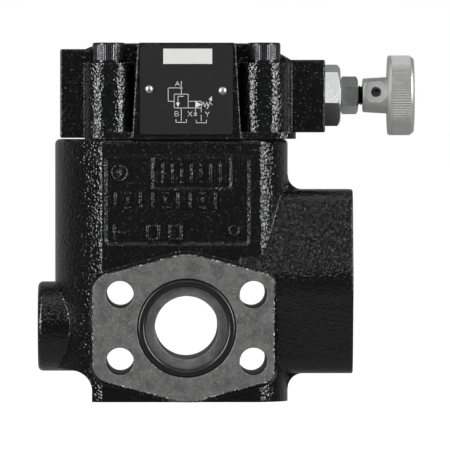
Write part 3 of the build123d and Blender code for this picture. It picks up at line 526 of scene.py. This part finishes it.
# Black oxide on rolled steel, oiled: near black with a soft metallic gloss
oxide = plain_metal(
    "black_oxide", "#1c1c1d", "#2c2c2e", 0.24, metallic=0.9, size=0.5, stretch=(1, 1, 3), depth=0.01
)
knurled = knurled_oxide()
# Ground, hardened steel of the sliding pieces
steel = plain_metal("ground_steel", "#9b9c9e", "#b0b1b3", 0.22, stretch=(1, 1, 6))
# Shot-peened spring wire, dark grey
spring_wire = plain_metal("spring_steel", "#55565a", "#6a6b6f", 0.4, size=0.4, depth=0.01)
# Free-cutting brass of the two jets
brass = plain_metal("jet_brass", "#b08d4a", "#c5a25c", 0.25, stretch=(1, 1, 4))
# Nickel-plated drive rivets, domed by the punch
rivet = plain_metal("rivet_steel", "#b4b4b2", "#c8c8c6", 0.34, size=0.5, depth=0.02)
rubber = nitrile()
plate = anodised_plate()
# Lines engraved through the anodised film to bare, matte aluminium
engraved = plain_metal("engraving", "#b4b4b4", "#c6c6c6", 0.5, metallic=0.2, depth=0.006)
# Pale matte print at the head of the plate
printed = plain_metal("printed_field", "#a8a8a6", "#b0b0ae", 0.6, metallic=0.0, stretch=(1, 1, 5))

node_materials = {
    "main_body": body_enamel,
    "pilot_head": head_enamel,
    "bonnet": zinc,
    "lock_nut": zinc,
    "gauge_port_plug": zinc,
    "gallery_plug": zinc,
    "knob": casting,
    "cap_screws": knurled,
    "adjusting_spindle": oxide,
    "knob_set_screw": oxide,
    "main_sleeve": steel,
    "main_poppet": steel,
    "pilot_seat": steel,
    "pilot_cone": steel,
    "spring_plunger": steel,
    "locating_pin": steel,
    "main_spring": spring_wire,
    "pilot_spring": spring_wire,
    "supply_jet": brass,
    "damping_jet": brass,
    "nameplate": plate,
    "nameplate_rivets": rivet,
}
for name, obj in nodes.items():
    dress(obj, node_materials.get(name, rubber))


# The two springs, as coils of wire that take the place of the plain solids
COIL_STEPS = 40
WIRE_SIDES = 16
POPPET_FLOOR = 60.29
SPRING_TOP = 103.35
CONE_COLLAR = 15.91
PLUNGER_SEAT = 32.95


def make_main_spring():
    foot = (0, 0, POPPET_FLOOR)
    main_coil = coil("main_spring_coil", (0, 0, 1), foot, SPRING_TOP - POPPET_FLOOR, 2.2, 18.0, 8)
    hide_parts("main_spring")
    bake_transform(main_coil)


def make_pilot_spring():
    """Two halves: the one by the cone and the one by the plunger."""
    foot = (CONE_COLLAR, 0, SPINDLE_Z)
    length = PLUNGER_SEAT - CONE_COLLAR
    for side_name, first, last, body, far in (
        ("left", 0.0, 0.5, "cone", CONE_COLLAR),
        ("right", 0.5, 1.0, "plunger", PLUNGER_SEAT),
    ):
        half = coil("pilot_spring_" + side_name, (1, 0, 0), foot, length, 1.8, 11.6, 6, first, last)
        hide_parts("pilot_spring")
        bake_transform(half)


make_main_spring()
make_pilot_spring()


# Adjusting spindle with its real thread of 1 mm lead, and the flat under the set screw
THREAD_RADIUS = 4.0
THREAD_DEPTH = 0.58
THREAD_LEFT = 48.05
THREAD_RIGHT = 69.85
SPINDLE_RIGHT = 87.0
TIP_RADIUS = 3.0
FLAT_LEFT = 72.1
FLAT_RIGHT = 78.1
FLAT_LEVEL = 2.2
SET_SCREW_TURN = math.radians(13.5)
SPINDLE_SIDES = 48
THREAD_STEP = 0.1


def thread_depth_at(place, turn):
    """How deep the thread's flank is at a place along the spindle: a 60 degree V with flats."""
    share = (place - turn / (2 * math.pi)) % 1.0
    return THREAD_DEPTH * min(max((abs(share - 0.5) - 0.0625) / 0.3125, 0.0), 1.0)


def make_spindle():
    turns = [2 * math.pi * index / SPINDLE_SIDES for index in range(SPINDLE_SIDES)]
    rings = []
    steps = int(round((THREAD_RIGHT - THREAD_LEFT) / THREAD_STEP))
    for step in range(steps + 1):
        place = THREAD_LEFT + step * THREAD_STEP
        # A chamfer of 1 mm at the left end
        start = min((place - THREAD_LEFT) + THREAD_RADIUS - 1.0, THREAD_RADIUS)
        ring = []
        for turn in turns:
            reach = min(THREAD_RADIUS - thread_depth_at(place, turn), start)
            ring.append((place, reach * math.cos(turn), SPINDLE_Z + reach * math.sin(turn)))
        rings.append(ring)
    way = Vector((0, -math.cos(SET_SCREW_TURN), math.sin(SET_SCREW_TURN)))
    for place, flat in (
        (THREAD_RIGHT, False),
        (FLAT_LEFT, False),
        (FLAT_LEFT, True),
        (FLAT_RIGHT, True),
        (FLAT_RIGHT, False),
        (SPINDLE_RIGHT, False),
    ):
        ring = []
        for turn in turns:
            out = Vector((0, math.cos(turn), math.sin(turn))) * TIP_RADIUS
            over = out.dot(way) - FLAT_LEVEL
            if flat and over > 0:
                out -= way * over
            ring.append((place, out.y, SPINDLE_Z + out.z))
        rings.append(ring)
    bm = bmesh.new()
    add_rings(bm, rings)
    spindle = piece_from(bm, "threaded_spindle", oxide, "adjuster", 50.0)
    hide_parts("adjusting_spindle")


make_spindle()


# Nameplate: a pale printed field and the graphic symbol of a pilot-operated relief valve
PLATE_FACE = -28.4
MARK_THICKNESS = 0.05
MARK_FACE = PLATE_FACE - MARK_THICKNESS / 2
LINE = 0.21
LETTER_LINE = 0.2
LETTER_WIDTH = 0.85
LETTER_HEIGHT = 0.6
DOT_RADIUS = 0.42
DOT_SIDES = 12
FIELD_LEFT = -9.2
FIELD_RIGHT = 10.0
FIELD_LOW = 132.8
FIELD_HIGH = 138.8

# The symbol is drawn on a grid of this step, with one known point
GRID_STEP = 0.3923
GRID_POINT = (149, 142)
GRID_POINT_PLACE = (-14.8, 102.2)


def plate_place(across, down):
    """The (x, z) place on the plate of a point of the drawing's grid."""
    x = GRID_POINT_PLACE[0] + (across - GRID_POINT[0]) * GRID_STEP
    z = GRID_POINT_PLACE[1] - (down - GRID_POINT[1]) * GRID_STEP
    return (x, z)


def stroke(bm, start, end, width):
    """An engraved line between two (x, z) places on the plate."""
    run = math.hypot(end[0] - start[0], end[1] - start[1])
    turn = Matrix.Rotation(-math.atan2(end[1] - start[1], end[0] - start[0]), 3, "Y")
    middle_x = (start[0] + end[0]) / 2
    middle_z = (start[1] + end[1]) / 2
    add_box(bm, (middle_x, PLATE_FACE, middle_z), (run + width * 0.6, MARK_THICKNESS, width), turn)


def strokes(bm, points, width=LINE):
    for start, end in zip(points, points[1:]):
        stroke(bm, start, end, width)


def filled(bm, points):
    """A filled mark with its corners at (x, z) places on the plate."""
    bm.faces.new([bm.verts.new(Vector((x, MARK_FACE, z)) * MM) for x, z in points])


def arrow(bm, tip, way, size):
    """A slender filled arrow head."""
    across = (-way[1] * size * 0.42, way[0] * size * 0.42)
    foot = (tip[0] - way[0] * size, tip[1] - way[1] * size)
    left = (foot[0] + across[0], foot[1] + across[1])
    right = (foot[0] - across[0], foot[1] - across[1])
    filled(bm, [tip, left, right])


def make_symbol():
    bm = bmesh.new()
    at = plate_place
    # Line A with its pilot branch and their junction
    strokes(bm, [at(181.3, 81.5), at(181.3, 94.2)])
    strokes(bm, [at(181.3, 88.0), at(168.2, 88.0), at(168.2, 101.3), at(174.2, 101.3)])
    x, z = at(181.3, 88.0)
    turns = [2 * math.pi * index / DOT_SIDES for index in range(DOT_SIDES)]
    filled(bm, [(x + DOT_RADIUS * math.cos(turn), z + DOT_RADIUS * math.sin(turn)) for turn in turns])
    # Main stage with its bent arrow
    strokes(bm, [at(174.2, 94.2), at(188.2, 94.2), at(188.2, 108.0), at(174.2, 108.0), at(174.2, 94.2)])
    strokes(bm, [at(183.5, 96.3), at(178.0, 96.3), at(178.0, 103.0)])
    arrow(bm, at(178.0, 107.2), (0, -1), 1.8)
    # Pilot stage with its filled triangle, the spring and the adjusting arrow
    strokes(bm, [at(188.2, 101.3), at(201.3, 101.3), at(201.3, 108.0), at(188.2, 108.0)])
    filled(bm, [at(195.4, 101.3), at(201.7, 104.7), at(195.4, 108.0)])
    strokes(bm, [at(201.8, 105.4), at(203.4, 101.8), at(205.0, 107.4), at(206.7, 101.8)])
    strokes(bm, [at(206.7, 101.8), at(208.3, 107.4), at(209.9, 101.8), at(212.0, 104.8)])
    strokes(bm, [at(207.0, 108.8), at(210.8, 99.6)])
    arrow(bm, at(211.8, 96.2), (0.34, 0.94), 1.7)
    # Lines B, X and Y, two with their tanks and X with its plug
    strokes(bm, [at(181.3, 108.0), at(181.3, 120.5)])
    strokes(bm, [at(176.0, 119.5), at(176.0, 122.4), at(186.5, 122.4), at(186.5, 119.5)])
    strokes(bm, [at(195.5, 108.0), at(195.5, 115.6)])
    strokes(bm, [at(194.0, 112.7), at(197.0, 115.7)])
    strokes(bm, [at(197.0, 112.7), at(194.0, 115.7)])
    strokes(bm, [at(201.2, 108.0), at(201.2, 112.0)])
    strokes(bm, [at(201.2, 115.0), at(201.2, 121.0)])
    strokes(bm, [at(196.2, 120.0), at(196.2, 122.8), at(206.4, 122.8), at(206.4, 120.0)])
    # Port letters
    for centre, lines in (
        ((177.4, 83.6), [[(-1.0, -1.5), (0.0, 1.5), (1.0, -1.5)], [(-0.6, -0.5), (0.6, -0.5)]]),
        (
            (176.6, 113.8),
            [
                [(-0.8, -1.5), (-0.8, 1.5), (0.4, 1.5), (0.8, 1.1), (0.8, 0.5), (0.4, 0.1), (-0.8, 0.1)],
                [(0.4, 0.1), (0.9, -0.4), (0.9, -1.1), (0.4, -1.5), (-0.8, -1.5)],
            ],
        ),
        ((190.0, 114.0), [[(-0.9, -1.5), (0.9, 1.5)], [(-0.9, 1.5), (0.9, -1.5)]]),
        ((207.3, 114.3), [[(-0.9, 1.5), (0.0, 0.0), (0.9, 1.5)], [(0.0, 0.0), (0.0, -1.5)]]),
    ):
        x, z = at(*centre)
        for line in lines:
            places = [(x + across * LETTER_WIDTH, z + up * LETTER_HEIGHT) for across, up in line]
            strokes(bm, places, LETTER_LINE)
    lines = piece_from(bm, "plate_symbol", engraved)


def make_field():
    bm = bmesh.new()
    middle = ((FIELD_LEFT + FIELD_RIGHT) / 2, PLATE_FACE, (FIELD_LOW + FIELD_HIGH) / 2)
    add_box(bm, middle, (FIELD_RIGHT - FIELD_LEFT, MARK_THICKNESS, FIELD_HIGH - FIELD_LOW))
    bare = piece_from(bm, "plate_field", printed)


make_symbol()
make_field()


# Raised foundry marks of the cast panel: plain rings and bars
PANEL_FLOOR = -26.1
BAR_WIDTH = 1.15
BAR_EDGE = 0.24
RING_STEPS = 40
RING_SIDES = 10


def raised_bar(bm, x, z, width, height, turn=0.0, rise=0.8):
    """A low cast bar with rounded edges, its middle at (x, z) on the panel and its foot sunk in it."""
    swing = Matrix.Rotation(math.radians(turn), 3, "Y")
    verts = add_box(bm, (0, 0, 0), (width, rise + 0.4, height), None, BAR_EDGE)
    bmesh.ops.rotate(bm, cent=(0, 0, 0), matrix=swing, verts=verts)
    bmesh.ops.translate(bm, vec=Vector((x, PANEL_FLOOR - rise / 2 + 0.2, z)) * MM, verts=verts)


def raised_ring(bm, x, z, radius, wire_radius):
    """A low cast ring of round section, half sunk in the panel."""
    rows = []
    for step in range(RING_STEPS):
        turn = 2 * math.pi * step / RING_STEPS
        row = []
        for index in range(RING_SIDES):
            bend = 2 * math.pi * index / RING_SIDES
            reach = radius + wire_radius * math.cos(bend)
            y = PANEL_FLOOR - 0.1 - wire_radius * math.sin(bend)
            row.append(bm.verts.new(Vector((x + reach * math.cos(turn), y, z + reach * math.sin(turn))) * MM))
        rows.append(row)
    for row, onward in zip(rows, rows[1:] + rows[:1]):
        for index in range(RING_SIDES):
            after = (index + 1) % RING_SIDES
            bm.faces.new((row[index], row[after], onward[after], onward[index]))


def make_cast_marks():
    bm = bmesh.new()
    # Ring with spokes at the upper left
    raised_ring(bm, -26.4, 90.0, 3.0, 0.42)
    for turn in range(0, 180, 45):
        raised_bar(bm, -26.4, 90.0, 0.5, 3.4, turn, 0.5)
    # Tall and short bars inside the frame of the insert
    for x, height in ((-9.4, 7.6), (-5.6, 7.6), (-2.0, 4.0), (1.8, 7.6), (5.6, 4.0), (9.4, 7.6), (13.2, 7.6)):
        raised_bar(bm, x, 89.85, 1.1, height)
    for x in (-2.0, 5.6):
        raised_bar(bm, x, 93.2, 1.1, 1.1)
        raised_bar(bm, x, 86.4, 1.1, 1.1)
    # Middle row of bars, each third one short with a bar over it and one under it
    for index in range(9):
        x = -28.0 + index * 4.9
        tall = index % 3 != 1
        raised_bar(bm, x, 79.2, BAR_WIDTH, 6.6 if tall else 3.0)
        if not tall:
            raised_bar(bm, x, 82.0, 2.6, 1.0)
            raised_bar(bm, x, 76.4, 2.6, 1.0)
    # Lower row: bars to the left and a ring to the right
    lower_row = (
        (-28.4, BAR_WIDTH, 6.2),
        (-25.6, 3.0, 1.0),
        (-15.4, BAR_WIDTH, 6.2),
        (-11.0, BAR_WIDTH, 6.2),
        (-6.6, BAR_WIDTH, 6.2),
        (-2.2, BAR_WIDTH, 6.2),
    )
    for x, width, height in lower_row:
        raised_bar(bm, x, 66.6, width, height)
    for x in (-13.2, -4.4):
        raised_bar(bm, x, 69.2, 3.2, 1.0)
        raised_bar(bm, x, 64.0, 3.2, 1.0)
    raised_ring(bm, 18.6, 67.4, 1.9, 0.45)
    marks = piece_from(bm, "cast_marks", body_enamel, "valve", 50.0)


make_cast_marks()


def place_camera():
    data = bpy.data.cameras.new("camera")
    camera = bpy.data.objects.new("camera", data)
    bpy.context.scene.collection.objects.link(camera)
    camera.location = CAMERA_PLACE
    sight = CAMERA_TARGET - CAMERA_PLACE
    camera.rotation_euler = sight.to_track_quat("-Z", "Y").to_euler()
    data.sensor_width = SENSOR
    data.lens = SENSOR * sight.length / FRAME_WIDTH
    data.clip_end = 100.0
    bpy.context.scene.camera = camera


# The lamps: azimuth (0 on the camera's side, positive to the right) and elevation in degrees, distance,
# width and height in metres, and radiance
LAMPS = {
    "strip_left": (-57, 21, 1.0, 0.2, 0.95, 19.0),
    "strip_right": (55, 21, 1.0, 0.2, 0.95, 18.5),
    "front": (0, 29.5, 1.2, 0.28, 0.17, 5.0),
    "overhead": (0, 72, 1.0, 0.9, 0.5, 1.0),
}
LAMP_AIM = Vector((10, 0, 70)) * MM


def softbox(name, azimuth, elevation, distance, width, height, radiance):
    """A rectangular studio lamp that faces the valve."""
    turn = math.radians(azimuth)
    rise = math.radians(elevation)
    way = Vector((math.sin(turn) * math.cos(rise), -math.cos(turn) * math.cos(rise), math.sin(rise)))
    data = bpy.data.lights.new(name, "AREA")
    data.shape = "RECTANGLE"
    data.size = width
    data.size_y = height
    # Radiance of a one-sided area lamp is its power over pi times its area
    data.energy = radiance * math.pi * width * height
    lamp = bpy.data.objects.new(name, data)
    bpy.context.scene.collection.objects.link(lamp)
    lamp.location = LAMP_AIM + way * distance
    lamp.rotation_euler = (-way).to_track_quat("-Z", "Y").to_euler()


def light_studio():
    for name, settings in LAMPS.items():
        softbox(name, *settings)


# Grey levels of the room: as it lights matte surfaces, and as glossy ones mirror it
ROOM_LIGHT = 0.2
MIRRORED_FRONT = 0.06
MIRRORED_BELOW = 0.32
MIRRORED_BEHIND = 0.3


def surround():
    """A grey room for the valve, and plain white where the camera looks past it."""
    world = bpy.data.worlds.new("studio")
    bpy.context.scene.world = world
    world.use_nodes = True
    tree = world.node_tree
    tree.nodes.clear()
    path = add_node(tree, "ShaderNodeLightPath")
    way = add_node(tree, "ShaderNodeTexCoord")
    _, y, z = split(tree, way.outputs["Generated"])
    behind = step_up(tree, y, 0.15, 0.7)
    below = flip(tree, step_up(tree, z, -0.6, -0.1))
    mirrored = blend_value(tree, below, MIRRORED_FRONT, MIRRORED_BELOW)
    mirrored = blend_value(tree, behind, mirrored, MIRRORED_BEHIND)
    level = blend_value(tree, path.outputs["Is Glossy Ray"], ROOM_LIGHT, mirrored)
    seen = calc(tree, "MAXIMUM", path.outputs["Is Camera Ray"], path.outputs["Is Transmission Ray"])
    level = calc(tree, "MAXIMUM", level, seen)
    background = add_node(tree, "ShaderNodeBackground", {"Color": (1, 1, 1, 1), "Strength": level})
    add_node(tree, "ShaderNodeOutputWorld", {"Surface": background.outputs[0]})


FLOOR_HALF = 30.0
FLOOR_GLOW = 1.2
FLOOR_GLOW_SHARE = 0.82


def lay_floor():
    """A large white floor. It shines a little to the camera, so that it runs into the white behind it."""
    bm = bmesh.new()
    bmesh.ops.create_grid(bm, x_segments=1, y_segments=1, size=FLOOR_HALF)
    mesh = bpy.data.meshes.new("floor")
    bm.to_mesh(mesh)
    bm.free()
    floor = bpy.data.objects.new("floor", mesh)
    bpy.context.scene.collection.objects.link(floor)
    material = bpy.data.materials.new("white_floor")
    material.use_nodes = True
    tree = material.node_tree
    tree.nodes.clear()
    path = add_node(tree, "ShaderNodeLightPath")
    paint = add_node(tree, "ShaderNodeBsdfDiffuse", {"Color": linear("#f2f2f2")})
    glow = add_node(tree, "ShaderNodeEmission", {"Color": (1, 1, 1, 1), "Strength": FLOOR_GLOW})
    share = calc(tree, "MULTIPLY", path.outputs["Is Camera Ray"], FLOOR_GLOW_SHARE)
    mixed = add_node(tree, "ShaderNodeMixShader", {0: share, 1: paint.outputs[0], 2: glow.outputs[0]})
    finish_material(tree, mixed)
    floor.data.materials.append(material)
    floor.visible_glossy = False


place_camera()
light_studio()
surround()
lay_floor()

bpy.context.scene.view_settings.view_transform = "Standard"
